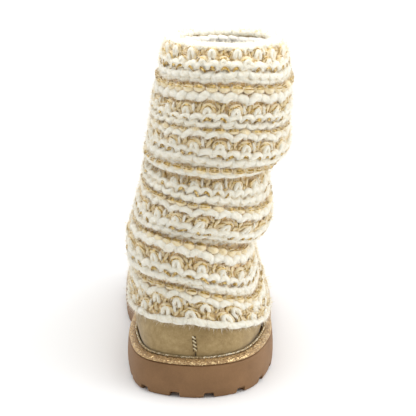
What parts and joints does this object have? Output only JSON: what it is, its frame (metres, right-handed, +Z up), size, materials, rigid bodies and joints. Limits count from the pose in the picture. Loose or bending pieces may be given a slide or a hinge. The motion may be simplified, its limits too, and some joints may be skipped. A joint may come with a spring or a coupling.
{
  "type": "slouch knit ankle boot",
  "caption": "Child's pull-on boot with a hollow suede foot, a slack chunky-knit shaft that slumps in folds, a sparkling rand and a lugged rubber sole",
  "frame": {"origin": "on the floor under the middle of the whole boot", "axes": "+Y from heel to toe, +X to the outer side of the foot, +Z up"},
  "size_m": [0.0768, 0.1708, 0.1466],
  "materials": {
    "outsole_rubber": "matt moulded rubber",
    "rand_glitter": "fine gold glitter",
    "piping_cord": "twisted metallic cord",
    "insole_fleece": "soft fleece",
    "upper_suede": "brushed suede nap",
    "shaft_knit": "chunky wool knit with gold thread"
  },
  "bodies": {
    "root": {"outsole": "outsole_rubber", "welt": "rand_glitter", "welt_piping": "piping_cord", "insole": "insole_fleece", "upper": "upper_suede", "shaft": "shaft_knit"}
  },
  "joints": []
}
